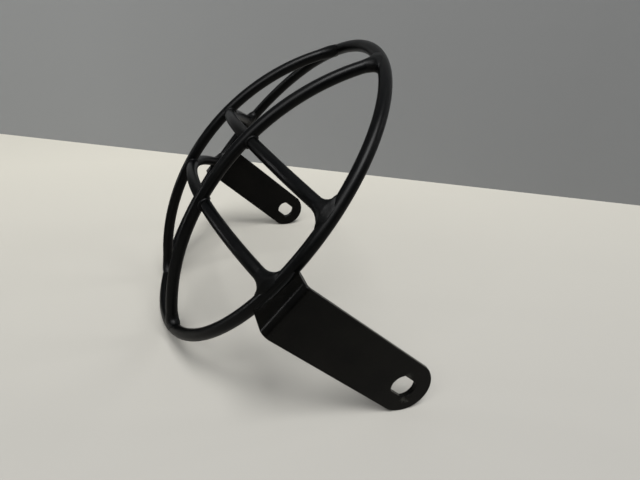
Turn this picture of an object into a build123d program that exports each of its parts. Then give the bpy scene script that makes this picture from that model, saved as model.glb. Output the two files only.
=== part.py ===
from build123d import *
from math import asin, atan2, cos, degrees, hypot, radians, sin, sqrt
import os

os.makedirs("parts", exist_ok=True)

# Driving sizes, in millimetres and degrees
RING_RADIUS = 88.0          # centre line of the hoop
ROD = 6.0                   # diameter of every round bar
DOME_HEIGHT = 30.0          # rise of each bar's centre line over the hoop
VERTICAL_OFFSET = 31.5      # each vertical bar from the middle
HORIZONTAL_OFFSET = 18.0    # each horizontal bar from the middle
STRIP_WIDTH = 25.0          # bracket strip
STRIP_THICKNESS = 2.5
BEND_INSIDE = 1.5           # inside radius of the bracket's fold
TAB_REACH = 11.5            # the tab beyond the outside of the hoop
HOLE_BACK = 70.0            # bolt hole behind the tab's front face
HOLE_LONG = 11.4            # bolt hole, along the arm
HOLE_FLATS = 9.0            # bolt hole, across its two flats
BRACKET_LEAN = 2.2          # the brackets' turn about the bolt axis
FLARE = 6.3                 # hollow radius of the weld that flares from each bar's end
CROSS_BEAD = 0.9            # radius of the bead where two bars cross
BEAD_HOLLOW = 1.8           # radius of the hollow bead in front of each tab
BEAD_SHORT = 1.0            # each tab bead stops this far short of the tab's edges

# Sizes that follow from them
ROD_RADIUS = ROD / 2
BEND_OUTSIDE = BEND_INSIDE + STRIP_THICKNESS
HALF_SPAN = RING_RADIUS + ROD_RADIUS + TAB_REACH
END_RADIUS = 0.516 * STRIP_WIDTH
ARM_LENGTH = HOLE_BACK + END_RADIUS
EDGE_ROUND = 0.14 * STRIP_THICKNESS
CAP_RADIUS = RING_RADIUS + 0.4 * ROD_RADIUS


# A vector's length made one
def unit(v):
    return v * (1.0 / v.length)


# Half chord, radius and centre of a bar's arc, for a bar this far from the middle
def arc_sizes(offset):
    half_chord = sqrt(RING_RADIUS ** 2 - offset ** 2)
    radius = (half_chord ** 2 + DOME_HEIGHT ** 2) / (2 * DOME_HEIGHT)
    centre = DOME_HEIGHT - radius
    return half_chord, radius, centre


# A point on a bar's centre line and its direction, by the angle from the bar's middle
def bar_point(offset, upright, angle):
    half_chord, radius, centre = arc_sizes(offset)
    rise = centre + radius * cos(angle)
    along = radius * sin(angle)
    place = Vector(rise, offset, along) if upright else Vector(rise, along, offset)
    ahead = Vector(-sin(angle), 0, cos(angle)) if upright else Vector(-sin(angle), cos(angle), 0)
    return place, ahead


# Angle from a bar's middle to its end on the hoop's centre line
def bar_end_angle(offset):
    half_chord, radius, centre = arc_sizes(offset)
    return asin(half_chord / radius)


# The hoop, a closed ring of round bar
def make_hoop():
    return Rot(0, 90, 0) * Torus(RING_RADIUS, ROD_RADIUS)


# A bent bar, with its ends this far short of the hoop's centre line
def make_bar(offset, upright, short):
    half_chord, radius, centre = arc_sizes(offset)
    reach = bar_end_angle(offset) - short / radius
    start, ahead = bar_point(offset, upright, -reach)
    disc = Plane(origin=start, z_dir=ahead) * Circle(ROD_RADIUS)
    if upright:
        axis = Axis((centre, offset, 0), (0, -1, 0))
    else:
        axis = Axis((centre, 0, offset), (0, 0, 1))
    return revolve(disc, axis, degrees(2 * reach))


# Half width of an end weld, and how far it is from the hoop's centre line, at this turn of its hollow
def flare_sizes(turn):
    away = ROD_RADIUS + FLARE * (1 - sin(radians(turn)))
    wide = ROD_RADIUS + FLARE * (1 - cos(radians(turn)))
    return away, wide


# Weld metal that flares from a bar's end onto the hoop, its foot lying along the hoop
def make_end_weld(offset, upright, side):
    half_chord, radius, centre = arc_sizes(offset)
    last = bar_end_angle(offset)
    foot, ahead = bar_point(offset, upright, side * last)
    round_hoop = unit(Vector(1, 0, 0).cross(Vector(0, foot.Y, foot.Z)))
    r = ROD_RADIUS
    widest = flare_sizes(80)[1]
    stages = [
        (-0.50 * r, 0.85 * widest, 0.70 * r, 1.0),
        (0.0, 0.96 * widest, 1.04 * r, 1.0),
        (0.50 * r, 1.02 * widest, 1.11 * r, 1.0),
    ]
    for turn, deep, follow in (
        (80, 1.13, 1.0),
        (65, 1.15, 0.9),
        (50, 1.13, 0.75),
        (35, 1.10, 0.55),
        (20, 1.06, 0.3),
        (8, 1.025, 0.1),
    ):
        away, wide = flare_sizes(turn)
        stages.append((away, wide, deep * r, follow))
    stages.append((1.05 * r + FLARE, 1.010 * r, 1.008 * r, 0.0))
    rings = []
    for away, wide, deep, follow in stages:
        place, direction = bar_point(offset, upright, side * (last - away / radius))
        inward = direction * (-side)
        across = unit(round_hoop - inward * round_hoop.dot(inward))
        thick_way = unit(inward.cross(across))
        wide_way = unit(round_hoop - thick_way * round_hoop.dot(thick_way))
        wide_way = unit(wide_way * follow + across * (1 - follow))
        plane = Plane(origin=place, x_dir=wide_way, z_dir=wide_way.cross(thick_way))
        rings.append(plane * Ellipse(wide, deep))
    return loft(rings)


# A thin bead of weld all along the line where one bar is let into another
def make_cross_weld(notched, y, z, upright_bar, level_bar):
    half_chord, radius, centre = arc_sizes(y)
    upper, ahead = bar_point(y, True, asin(z / radius))
    notch = min(notched.faces(), key=lambda f: (f.center() - upper).length)
    seam = notch.outer_wire()
    start = seam.position_at(0)
    disc = Plane(origin=start, z_dir=seam.tangent_at(0)) * Circle(CROSS_BEAD)
    bead = sweep(disc, path=seam, is_frenet=True)
    return bead - upright_bar - level_bar


# The bracket's outline seen along the fold: tab, fold and arm
def make_fold():
    t = STRIP_THICKNESS
    inner = RING_RADIUS - ROD_RADIUS
    y = HALF_SPAN
    o = BEND_OUTSIDE
    i = BEND_INSIDE
    turn = o * (1 - sqrt(0.5))
    inside_turn = o - i * sqrt(0.5)
    lines = (
        Line((0, inner), (0, y - o)),
        ThreePointArc((0, y - o), (-turn, y - turn), (-o, y)),
        Line((-o, y), (-ARM_LENGTH - 1, y)),
        Line((-ARM_LENGTH - 1, y), (-ARM_LENGTH - 1, y - t)),
        Line((-ARM_LENGTH - 1, y - t), (-o, y - t)),
        ThreePointArc((-o, y - t), (-inside_turn, y - inside_turn), (-t, y - o)),
        Line((-t, y - o), (-t, inner)),
        Line((-t, inner), (0, inner)),
    )
    return make_face([line.edge() for line in lines])


# The bracket's outline seen from its side: straight edges and a rounded end
def make_side_outline():
    h = STRIP_WIDTH / 2
    corner = -HOLE_BACK - sqrt(END_RADIUS ** 2 - h ** 2)
    front = 1.0
    lines = (
        Line((corner, h), (front, h)),
        Line((front, h), (front, -h)),
        Line((front, -h), (corner, -h)),
        ThreePointArc((corner, -h), (-ARM_LENGTH, 0), (corner, h)),
    )
    return make_face([line.edge() for line in lines])


# The bolt hole, round ends and two flats along the arm
def make_bolt_hole():
    bore = Circle(HOLE_LONG / 2) & Rectangle(HOLE_LONG + 2, HOLE_FLATS)
    bore = extrude(bore, 2 * HALF_SPAN)
    return Pos(-HOLE_BACK, 0, 0) * Rot(-90, 0, 0) * bore


# One bracket before it meets the hoop, on the side of positive Y
def make_plain_bracket():
    width = STRIP_WIDTH
    strip = Pos(0, 0, -width / 2) * extrude(make_fold(), width)
    side = Rot(90, 0, 0) * extrude(make_side_outline(), -2 * HALF_SPAN)
    body = strip & side
    body = body.solids()[0]
    rim = [e for e in body.edges() if on_rim(e)]
    body = fillet(rim, EDGE_ROUND)
    body = body - make_bolt_hole()
    mouth = [e for e in body.edges() if round_the_hole(e)]
    return chamfer(mouth, 0.6 * EDGE_ROUND)


# True for the edges along the strip's two sides and round its end
def on_rim(edge):
    box = edge.bounding_box()
    flat = box.max.Z - box.min.Z < 1e-3
    at_side = abs(abs(edge.center().Z) - STRIP_WIDTH / 2) < 1e-3
    at_end = box.max.X < -HOLE_BACK and box.max.Y - box.min.Y < 1e-3
    long_enough = edge.length > 1.01 * STRIP_THICKNESS or at_end
    across = box.max.Y - box.min.Y > 1e-3 and box.max.X < -HOLE_BACK
    return ((flat and at_side and long_enough) or at_end) and not across


# True for the edges of the bolt hole's two mouths
def round_the_hole(edge):
    box = edge.bounding_box()
    near = hypot(edge.center().X + HOLE_BACK, edge.center().Z) < 0.6 * HOLE_LONG
    return near and box.max.Y - box.min.Y < 1e-3


# One bracket in its place, its tab cut to sit against the hoop
def make_bracket(hoop):
    seat = Pos(0, 0, -HORIZONTAL_OFFSET) * Rot(0, -BRACKET_LEAN, 0)
    body = seat * make_plain_bracket()
    core = Rot(0, 90, 0) * Cylinder(CAP_RADIUS, 8 * STRIP_THICKNESS)
    body = body - core - hoop
    return max(body.solids(), key=lambda s: s.volume)


# Angles round the hoop that a bracket's weld covers, from the positive Y side
def weld_angles():
    reach = STRIP_WIDTH / 2 - BEAD_SHORT
    low = asin((-HORIZONTAL_OFFSET - reach) / (RING_RADIUS + ROD_RADIUS))
    high = asin((-HORIZONTAL_OFFSET + reach) / (RING_RADIUS + ROD_RADIUS))
    return low, high


# A bead of weld along the hoop that thins out at both ends, from its outline at a given size
def make_bead(outline):
    low, high = weld_angles()
    rings = []
    for share, size in ((0, 0.35), (0.1, 0.85), (0.3, 1.0), (0.5, 1.0), (0.7, 1.0), (0.9, 0.85), (1, 0.35)):
        angle = degrees(low + share * (high - low))
        rings.append(Rot(angle, 0, 0) * Plane(origin=(0, 0, 0), x_dir=(1, 0, 0), z_dir=(0, 0, 1)) * outline(size))
    return loft(rings)


# The hollow bead in the corner between the hoop and the tab's front face
def front_outline(size):
    lift = 0.03 * ROD_RADIUS
    hollow = size * BEAD_HOLLOW + lift
    tube = ROD_RADIUS
    up = hollow
    out = RING_RADIUS + sqrt((tube + hollow) ** 2 - hollow ** 2)
    lean = asin(hollow / (tube + hollow))
    ball = hollow - lift
    top = (up - ball * sin(lean), out - ball * cos(lean))
    low = (lift, out)
    turn = (lean + radians(90)) / 2
    middle = (up - ball * sin(turn), out - ball * cos(turn))
    depth = -0.4 * tube
    inner = RING_RADIUS + 0.7 * tube
    lines = (
        ThreePointArc(top, middle, low),
        Line(low, (depth, out)),
        Line((depth, out), (depth, inner)),
        Line((depth, inner), (top[0], inner)),
        Line((top[0], inner), top),
    )
    return make_face([line.edge() for line in lines])


# The round bead that closes the seam between the hoop and the tab's back face
def back_outline(size):
    r = ROD_RADIUS
    return Pos(-0.95 * r, RING_RADIUS + 0.50 * r, 0) * Ellipse(0.38 * size * r, 1.05 * size * r)


# The floor's slope under the guard, touching the hoop and both arms' rounded ends
def rest_angle():
    lean = radians(BRACKET_LEAN)
    back = HOLE_BACK * cos(lean)
    drop = HORIZONTAL_OFFSET + HOLE_BACK * sin(lean)
    rise = RING_RADIUS - drop
    apart = hypot(back, rise)
    return atan2(rise, back) + asin((ROD_RADIUS - END_RADIUS) / apart)


# The largest solid of a shape, as one solid
def biggest(shape):
    return max(shape.solids(), key=lambda s: s.volume)


# A piece of the left top quarter and its mirror twins in the other three
def four_ways(piece):
    across = mirror(piece, Plane.XZ)
    return (
        ("left_top", piece),
        ("right_top", across),
        ("left_bottom", mirror(piece, Plane.XY)),
        ("right_bottom", mirror(across, Plane.XY)),
    )


# Every piece by name, in the guard's own frame: X out of the hoop, Z up its plane
def make_pieces():
    short = 0.27 * ROD_RADIUS
    v = VERTICAL_OFFSET
    h = HORIZONTAL_OFFSET
    hoop = make_hoop()
    left_full = make_bar(v, True, 0)
    right_full = make_bar(-v, True, 0)
    upper_full = make_bar(h, False, 0)
    lower_full = make_bar(-h, False, 0)
    pieces = {"hoop": hoop}
    pieces["vertical_bar_left"] = biggest(make_bar(v, True, short) - hoop)
    pieces["vertical_bar_right"] = biggest(make_bar(-v, True, short) - hoop)
    pieces["horizontal_bar_upper"] = biggest(make_bar(h, False, short) - hoop - left_full - right_full)
    pieces["horizontal_bar_lower"] = biggest(make_bar(-h, False, short) - hoop - left_full - right_full)
    bracket = make_bracket(hoop)
    pieces["bracket_left"] = bracket
    pieces["bracket_right"] = mirror(bracket, Plane.XZ)
    flare = biggest(make_end_weld(v, True, 1) - hoop - left_full)
    for end, piece in four_ways(flare):
        pieces["weld_vertical_" + end] = piece
    flare = biggest(make_end_weld(h, False, 1) - hoop - upper_full)
    for end, piece in four_ways(flare):
        side, height = end.split("_")
        pieces["weld_horizontal_" + {"top": "upper", "bottom": "lower"}[height] + "_" + side] = piece
    for name, y, z, one, other in (
        ("upper_left", v, h, left_full, upper_full),
        ("upper_right", -v, h, right_full, upper_full),
        ("lower_left", v, -h, left_full, lower_full),
        ("lower_right", -v, -h, right_full, lower_full),
    ):
        notched = pieces["horizontal_bar_" + name.split("_")[0]]
        pieces["weld_crossing_" + name] = biggest(make_cross_weld(notched, y, z, one, other))
    front = biggest(make_bead(front_outline) - hoop - bracket)
    back = biggest(make_bead(back_outline) - hoop - bracket)
    pieces["weld_bracket_left_front"] = front
    pieces["weld_bracket_right_front"] = mirror(front, Plane.XZ)
    pieces["weld_bracket_left_back"] = back
    pieces["weld_bracket_right_back"] = mirror(back, Plane.XZ)
    return pieces


# The pieces laid down as the guard rests on a table, over the frame's origin
def lay_down(pieces):
    turn = Rot(0, -degrees(rest_angle()), 0)
    turned = {name: turn * piece for name, piece in pieces.items()}
    boxes = [piece.bounding_box() for piece in turned.values()]
    x = (min(b.min.X for b in boxes) + max(b.max.X for b in boxes)) / 2
    y = (min(b.min.Y for b in boxes) + max(b.max.Y for b in boxes)) / 2
    z = min(b.min.Z for b in boxes)
    return {name: Pos(-x, -y, -z) * piece for name, piece in turned.items()}


for name, piece in lay_down(make_pieces()).items():
    export_step(piece, "parts/" + name + ".step")
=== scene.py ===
"""Looks of a welded wire headlight guard in satin black powder coat, resting on a pale table."""
import math

import bpy
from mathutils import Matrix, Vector


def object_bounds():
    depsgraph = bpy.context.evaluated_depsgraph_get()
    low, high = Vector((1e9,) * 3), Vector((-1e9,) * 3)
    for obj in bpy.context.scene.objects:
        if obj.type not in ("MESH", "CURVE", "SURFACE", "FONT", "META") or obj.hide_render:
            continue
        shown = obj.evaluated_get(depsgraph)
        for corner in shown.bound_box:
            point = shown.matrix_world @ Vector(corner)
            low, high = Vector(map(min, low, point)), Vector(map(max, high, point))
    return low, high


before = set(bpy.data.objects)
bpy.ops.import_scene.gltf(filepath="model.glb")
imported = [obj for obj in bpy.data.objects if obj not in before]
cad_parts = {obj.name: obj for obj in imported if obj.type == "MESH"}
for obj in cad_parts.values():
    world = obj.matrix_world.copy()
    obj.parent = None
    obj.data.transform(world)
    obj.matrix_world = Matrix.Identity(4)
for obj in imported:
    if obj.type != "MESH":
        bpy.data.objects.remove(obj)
cad_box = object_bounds()

MM = 0.001
OBJECT_MIDDLE = (Vector(cad_box[0]) + Vector(cad_box[1])) / 2
NEAR_ARM_FACE = cad_box[1][1]

# Camera: place, turn and lens found by matching the hoop, bars and arms to the photograph
CAMERA_PLACE = (0.04855, 0.24321, 0.15708)
CAMERA_TURN_DEGREES = (66.118, -1.213, 166.318)
CAMERA_LENS = 27.103
CAMERA_SENSOR = 36.0
CAMERA_SHIFT = (0.06163, -0.02471)
CAMERA_CLIP = (0.01, 20.0)

# Table: the tones that the eye sees, painted paler towards the back as painted light, and the Y where the
# back one turns into the front one
FLOOR_SIZE = 6.0
FLOOR_FRONT = (0.355, 0.345, 0.320, 1.0)
FLOOR_BACK = (0.545, 0.525, 0.460, 1.0)
FLOOR_PAINTED_LIGHT_FADE = (-0.30, 0.17)
FLOOR_ROUGHNESS = 0.60
FLOOR_SPECULAR = 0.15

# Table in reflections, a painted reflection: dark round one place, and pale from so far away from it
FLOOR_PAINTED_REFLECTION_PALE = (0.270, 0.260, 0.236, 1.0)
FLOOR_PAINTED_REFLECTION_DARK = (0.012, 0.012, 0.012, 1.0)
FLOOR_PAINTED_REFLECTION_FADE = (0.30, 0.37)
FLOOR_PAINTED_DARK_PLACE = (0.32, -0.30, 0.0)

# Wall: its foot at the picture's left and right edges, and how many such widths it adds past each
WALL_LEFT = (0.150, -0.395)
WALL_RIGHT = (-0.316, -0.114)
WALL_REACH = 4
WALL_HEIGHT = 0.6

# Wall: the tones that the eye sees, painted lighter at the left as painted light, and the X where the right
# one turns into the left one
WALL_TONE_LEFT = (0.240, 0.245, 0.245, 1.0)
WALL_TONE_RIGHT = (0.178, 0.182, 0.182, 1.0)
WALL_PAINTED_LIGHT_FADE = (-0.32, 0.12)
WALL_ROUGHNESS = 0.7

# Wall in reflections, a painted reflection: its tones, and the X where the right one turns into the left one
WALL_PAINTED_REFLECTION_LEFT = (0.008, 0.008, 0.008, 1.0)
WALL_PAINTED_REFLECTION_RIGHT = (0.240, 0.245, 0.250, 1.0)
WALL_PAINTED_REFLECTION_FADE = (0.13, 0.24)

# Sky: its tones low and high up, the height where one turns into the other, and its tone to the camera
SKY_LOW = (0.03, 0.03, 0.03, 1.0)
SKY_HIGH = (0.30, 0.31, 0.33, 1.0)
SKY_RISE = (0.08, 0.62)
SKY_SEEN = (0.50, 0.50, 0.50, 1.0)

# Lamps: name, the way to it from the object, how far, how wide and high, and how strong
LAMPS = (
    ("ceiling_lamp", (-0.05, 0.42, 1.0), 3.4, (1.6, 1.6), 110.0),
    ("window_lamp", (0.50, 0.62, 0.82), 2.6, (1.8, 1.0), 30.0),
    ("fill_lamp", (-0.95, 0.10, 0.48), 2.0, (0.6, 0.6), 8.0),
    ("strip_lamp", (0.90, -0.39, 0.19), 3.8, (0.28, 1.5), 15.0),
)

# Coat: the darkest and lightest of its own tones, and how strongly it shines
ROD_TONES = ((0.0003, 0.0004, 0.0005, 1.0), (0.0010, 0.0011, 0.0010, 1.0))
PLATE_TONES = ((0.0006, 0.0006, 0.0005, 1.0), (0.0020, 0.0019, 0.0014, 1.0))
COAT_IOR = 1.5
COAT_SPECULAR = 0.12

# Grain of the coat: size of a cell, detail and roughness of each noise
PEEL = (0.9 * MM, 1.5, 0.5)
WELD_PEEL = (0.7 * MM, 1.5, 0.5)
WELD_LUMPS = (2.2 * MM, 1.0, 0.4)
CLOUDS = (14 * MM, 3.0, 0.6)
DUST = (0.35 * MM, 1.0, 0.5)

# Relief and sheen: how high the grain stands, and the coat's roughness where it is glossiest and dullest
ROD_PEEL_HEIGHT = 0.015 * MM
PLATE_PEEL_HEIGHT = 0.008 * MM
WELD_PEEL_HEIGHT = 0.020 * MM
WELD_LUMP_HEIGHT = 0.14 * MM
ROD_ROUGHNESS = (0.29, 0.37)
PLATE_ROUGHNESS = (0.20, 0.26)
WELD_ROUGHNESS = (0.33, 0.43)

# Clouds and dust: the part of each noise that turns one tone or sheen into the other
CLOUD_TONE_RANGE = (0.35, 0.65)
CLOUD_SHEEN_RANGE = (0.3, 0.7)
DUST_RANGE = (0.72, 0.76)
DUST_TONE = (0.014, 0.014, 0.012, 1.0)

# Lighter spots on the coat beside the near arm's hole: middle and radius of each
HOLE_SPOTS = (
    ((-43.8 * MM, NEAR_ARM_FACE, 17.8 * MM), 2.2 * MM),
    ((-43.0 * MM, NEAR_ARM_FACE, 5.7 * MM), 1.5 * MM),
    ((-44.8 * MM, NEAR_ARM_FACE, 5.0 * MM), 1.1 * MM),
)

# Lighter spots: their tone, the share of the radius that takes that tone fully, and how ragged their edge is
HOLE_SPOT_TONE = (0.022, 0.022, 0.019, 1.0)
HOLE_SPOT_CORE = 0.2
HOLE_SPOT_GRAIN = (0.8 * MM, 2.0, 0.6)
HOLE_SPOT_GRAIN_RANGE = (0.3, 0.7)
HOLE_SPOT_RAGGEDNESS = 0.9 * MM


def new_material(name):
    """A material with an empty node tree that ends in a Principled shader."""
    material = bpy.data.materials.new(name)
    material.use_nodes = True
    tree = material.node_tree
    tree.nodes.clear()
    out = tree.nodes.new("ShaderNodeOutputMaterial")
    shader = tree.nodes.new("ShaderNodeBsdfPrincipled")
    tree.links.new(shader.outputs["BSDF"], out.inputs["Surface"])
    return material, tree, shader


def own_place(tree):
    """The place of a point in its object's own coordinates."""
    return tree.nodes.new("ShaderNodeTexCoord").outputs["Object"]


def along(tree, where, axis):
    """One coordinate of a place."""
    node = tree.nodes.new("ShaderNodeSeparateXYZ")
    tree.links.new(where, node.inputs[0])
    return node.outputs[axis]


def distance_from(tree, where, middle):
    """How far a place is from a fixed one."""
    node = tree.nodes.new("ShaderNodeVectorMath")
    node.operation = "DISTANCE"
    node.inputs[1].default_value = middle
    tree.links.new(where, node.inputs[0])
    return node.outputs["Value"]


def combine(tree, operation, first, second):
    """Two values put through a Math operation."""
    node = tree.nodes.new("ShaderNodeMath")
    node.operation = operation
    tree.links.new(first, node.inputs[0])
    tree.links.new(second, node.inputs[1])
    return node.outputs[0]


def noise(tree, where, grain):
    """Noise of this grain: size of a cell, detail and roughness."""
    cell, detail, roughness = grain
    node = tree.nodes.new("ShaderNodeTexNoise")
    node.inputs["Scale"].default_value = 1.0 / cell
    node.inputs["Detail"].default_value = detail
    node.inputs["Roughness"].default_value = roughness
    tree.links.new(where, node.inputs["Vector"])
    return node.outputs["Fac"]


def spread(tree, value, source, target=(0.0, 1.0)):
    """A value, with its source range stretched over the target range."""
    node = tree.nodes.new("ShaderNodeMapRange")
    node.inputs["From Min"].default_value = source[0]
    node.inputs["From Max"].default_value = source[1]
    node.inputs["To Min"].default_value = target[0]
    node.inputs["To Max"].default_value = target[1]
    tree.links.new(value, node.inputs["Value"])
    return node.outputs["Result"]


def blend_colours(tree, share, first, second):
    """A colour between two, by share."""
    node = tree.nodes.new("ShaderNodeMix")
    node.data_type = "RGBA"
    tree.links.new(share, node.inputs["Factor"])
    for name, colour in (("A", first), ("B", second)):
        target = [socket for socket in node.inputs if socket.name == name and socket.type == "RGBA"][0]
        if isinstance(colour, tuple):
            target.default_value = colour
        else:
            tree.links.new(colour, target)
    return [socket for socket in node.outputs if socket.type == "RGBA"][0]


def bump(tree, height, distance, under=None):
    """A normal bent by a height, over another bump if one is given."""
    node = tree.nodes.new("ShaderNodeBump")
    node.inputs["Strength"].default_value = 1.0
    node.inputs["Distance"].default_value = distance
    tree.links.new(height, node.inputs["Height"])
    if under is not None:
        tree.links.new(under, node.inputs["Normal"])
    return node.outputs["Normal"]


def hole_spot_share(tree, where):
    """How far the coat takes the lighter spot tone: 1 in the middle of each spot, 0 away from them."""
    grain = noise(tree, where, HOLE_SPOT_GRAIN)
    ragged = spread(tree, grain, HOLE_SPOT_GRAIN_RANGE, (-HOLE_SPOT_RAGGEDNESS, HOLE_SPOT_RAGGEDNESS))
    share = None
    for middle, radius in HOLE_SPOTS:
        edge = combine(tree, "ADD", distance_from(tree, where, middle), ragged)
        spot = spread(tree, edge, (HOLE_SPOT_CORE * radius, radius), (1.0, 0.0))
        share = spot if share is None else combine(tree, "MAXIMUM", share, spot)
    return share


def powder_coat(name, tones, peel, peel_height, roughness, lump_height=0.0, with_hole_spots=False):
    """Satin black powder coat with orange peel, uneven sheen and fine dust."""
    material, tree, shader = new_material(name)
    where = own_place(tree)
    clouds = noise(tree, where, CLOUDS)
    tone = blend_colours(tree, spread(tree, clouds, CLOUD_TONE_RANGE), *tones)
    specks = spread(tree, noise(tree, where, DUST), DUST_RANGE)
    colour = blend_colours(tree, specks, tone, DUST_TONE)
    if with_hole_spots:
        colour = blend_colours(tree, hole_spot_share(tree, where), colour, HOLE_SPOT_TONE)
    tree.links.new(colour, shader.inputs["Base Color"])
    tree.links.new(spread(tree, clouds, CLOUD_SHEEN_RANGE, roughness), shader.inputs["Roughness"])
    lumps = None
    if lump_height > 0.0:
        lumps = bump(tree, noise(tree, where, WELD_LUMPS), lump_height)
    tree.links.new(bump(tree, noise(tree, where, peel), peel_height, lumps), shader.inputs["Normal"])
    shader.inputs["IOR"].default_value = COAT_IOR
    shader.inputs["Specular IOR Level"].default_value = COAT_SPECULAR
    return material


def dress(starts, material):
    """The material on every CAD node whose name starts with one of these words."""
    for name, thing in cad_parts.items():
        if name.startswith(starts):
            thing.data.materials.clear()
            thing.data.materials.append(material)


def seen_or_painted_reflection(tree, plain, mirrored):
    """One colour where the eye sees it and another, a painted reflection, in reflections."""
    in_gloss = tree.nodes.new("ShaderNodeLightPath").outputs["Is Glossy Ray"]
    return blend_colours(tree, in_gloss, plain, mirrored)


def table_finish():
    """Pale matt table top, painted paler towards the back as painted light, and with painted reflection
    tones where it is mirrored.
    """
    material, tree, shader = new_material("pale_table")
    where = own_place(tree)
    # Painted light: the table top is painted paler towards the back
    fade = spread(tree, along(tree, where, "Y"), FLOOR_PAINTED_LIGHT_FADE)
    plain = blend_colours(tree, fade, FLOOR_BACK, FLOOR_FRONT)
    # Painted reflection: in reflections the table is dark round one place and pale away from it
    gloss_fade = spread(tree, distance_from(tree, where, FLOOR_PAINTED_DARK_PLACE), FLOOR_PAINTED_REFLECTION_FADE)
    mirrored = blend_colours(tree, gloss_fade, FLOOR_PAINTED_REFLECTION_DARK, FLOOR_PAINTED_REFLECTION_PALE)
    tree.links.new(seen_or_painted_reflection(tree, plain, mirrored), shader.inputs["Base Color"])
    shader.inputs["Roughness"].default_value = FLOOR_ROUGHNESS
    shader.inputs["Specular IOR Level"].default_value = FLOOR_SPECULAR
    return material


def wall_finish():
    """Plain grey wall, painted lighter at the left as painted light, and with painted reflection tones where
    it is mirrored, that is clear from behind.
    """
    material, tree, shader = new_material("grey_wall")
    across = along(tree, own_place(tree), "X")
    # Painted light: the wall is painted lighter towards the left
    plain = blend_colours(tree, spread(tree, across, WALL_PAINTED_LIGHT_FADE), WALL_TONE_RIGHT, WALL_TONE_LEFT)
    # Painted reflection: in reflections the wall is pale at the right and dark at the left
    gloss_fade = spread(tree, across, WALL_PAINTED_REFLECTION_FADE)
    mirrored = blend_colours(tree, gloss_fade, WALL_PAINTED_REFLECTION_RIGHT, WALL_PAINTED_REFLECTION_LEFT)
    tree.links.new(seen_or_painted_reflection(tree, plain, mirrored), shader.inputs["Base Color"])
    shader.inputs["Roughness"].default_value = WALL_ROUGHNESS
    clear = tree.nodes.new("ShaderNodeBsdfTransparent")
    choose = tree.nodes.new("ShaderNodeMixShader")
    behind = tree.nodes.new("ShaderNodeNewGeometry").outputs["Backfacing"]
    tree.links.new(behind, choose.inputs[0])
    tree.links.new(shader.outputs["BSDF"], choose.inputs[1])
    tree.links.new(clear.outputs["BSDF"], choose.inputs[2])
    tree.links.new(choose.outputs["Shader"], tree.nodes["Material Output"].inputs["Surface"])
    return material


def make_floor():
    """A wide flat table top."""
    bpy.ops.mesh.primitive_plane_add(size=FLOOR_SIZE, location=(0, 0, 0))
    floor = bpy.context.object
    floor.name = "stage_floor"
    floor.data.materials.append(table_finish())


def make_wall():
    """A plain wall behind the object, seen only from its front."""
    left, right = Vector(WALL_LEFT), Vector(WALL_RIGHT)
    reach = (right - left) * WALL_REACH
    left, right = left - reach, right + reach
    low = [(left.x, left.y, 0.0), (right.x, right.y, 0.0)]
    high = [(right.x, right.y, WALL_HEIGHT), (left.x, left.y, WALL_HEIGHT)]
    mesh = bpy.data.meshes.new("stage_wall")
    mesh.from_pydata(low + high, [], [(0, 1, 2, 3)])
    mesh.materials.append(wall_finish())
    wall = bpy.data.objects.new("stage_wall", mesh)
    wall.visible_shadow = False
    bpy.context.collection.objects.link(wall)


def make_camera():
    """The photograph's camera."""
    data = bpy.data.cameras.new("camera")
    data.sensor_width = CAMERA_SENSOR
    data.lens = CAMERA_LENS
    data.shift_x, data.shift_y = CAMERA_SHIFT
    data.clip_start, data.clip_end = CAMERA_CLIP
    camera = bpy.data.objects.new("camera", data)
    camera.location = CAMERA_PLACE
    camera.rotation_euler = [math.radians(angle) for angle in CAMERA_TURN_DEGREES]
    bpy.context.collection.objects.link(camera)
    bpy.context.scene.camera = camera


def make_lamp(name, way, far, size, power):
    """A soft rectangular lamp this way and this far from the object, turned to it."""
    aim = -Vector(way).normalized()
    data = bpy.data.lights.new(name, "AREA")
    data.shape = "RECTANGLE"
    data.size, data.size_y = size
    data.energy = power
    lamp = bpy.data.objects.new(name, data)
    lamp.location = OBJECT_MIDDLE - aim * far
    lamp.rotation_euler = aim.to_track_quat("-Z", "Y").to_euler()
    bpy.context.collection.objects.link(lamp)


def make_world():
    """Pale light from overhead that fades towards the horizon, and a plain grey where the camera sees it."""
    world = bpy.data.worlds.new("world")
    world.use_nodes = True
    tree = world.node_tree
    direction = tree.nodes.new("ShaderNodeTexCoord").outputs["Generated"]
    height = spread(tree, along(tree, direction, "Z"), SKY_RISE)
    sky = blend_colours(tree, height, SKY_LOW, SKY_HIGH)
    seen = tree.nodes.new("ShaderNodeLightPath").outputs["Is Camera Ray"]
    tree.links.new(blend_colours(tree, seen, sky, SKY_SEEN), tree.nodes["Background"].inputs["Color"])
    bpy.context.scene.world = world


make_camera()
make_floor()
make_wall()
make_world()
for lamp_values in LAMPS:
    make_lamp(*lamp_values)

rod_finish = powder_coat("coated_rod_finish", ROD_TONES, PEEL, ROD_PEEL_HEIGHT, ROD_ROUGHNESS)
plate_finish = powder_coat(
    "coated_plate_finish", PLATE_TONES, PEEL, PLATE_PEEL_HEIGHT, PLATE_ROUGHNESS, with_hole_spots=True
)
weld_finish = powder_coat(
    "coated_weld_finish", ROD_TONES, WELD_PEEL, WELD_PEEL_HEIGHT, WELD_ROUGHNESS, WELD_LUMP_HEIGHT
)
dress(("hoop", "vertical_bar", "horizontal_bar"), rod_finish)
dress(("bracket",), plate_finish)
dress(("weld",), weld_finish)

bpy.context.scene.view_settings.view_transform = "Standard"
